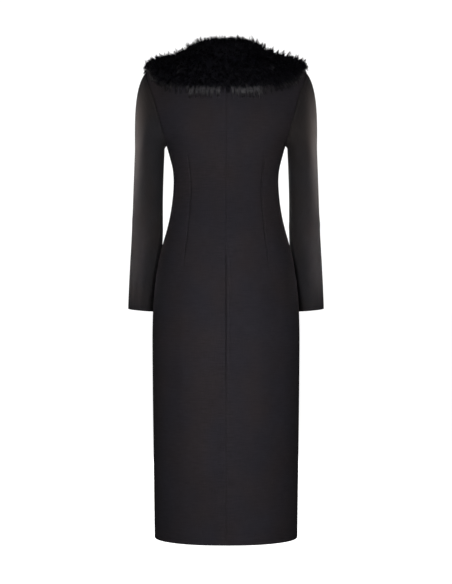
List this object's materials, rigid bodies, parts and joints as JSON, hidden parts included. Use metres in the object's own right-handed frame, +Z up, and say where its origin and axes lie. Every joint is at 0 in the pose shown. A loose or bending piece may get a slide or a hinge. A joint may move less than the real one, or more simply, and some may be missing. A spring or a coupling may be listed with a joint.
{
  "type": "long coat with fur collar",
  "caption": "Long fitted coat in plain wool coating with a wide fur shawl collar, back and front waist darts, slim set-in sleeves and a lapped front, in its worn hollow form.",
  "frame": {"origin": "middle of the neck's base, where the coat hangs from the wearer's neck and shoulders", "axes": "+Z up the standing coat, front towards -Y, back towards +Y, the wearer's left towards +X"},
  "size_m": [0.5148, 0.2989, 1.2867],
  "materials": {
    "wool_coating": "smooth matt black wool coating with a fine cross weave",
    "black_fur": "long black fur, soft sheen, greyer at the hair tips"
  },
  "bodies": {
    "root": {"back_left": "wool_coating", "back_right": "wool_coating", "front_left": "wool_coating", "front_right": "wool_coating", "sleeve_top_left": "wool_coating", "sleeve_top_right": "wool_coating", "sleeve_under_left": "wool_coating", "sleeve_under_right": "wool_coating", "fur_collar": "black_fur"}
  },
  "joints": []
}
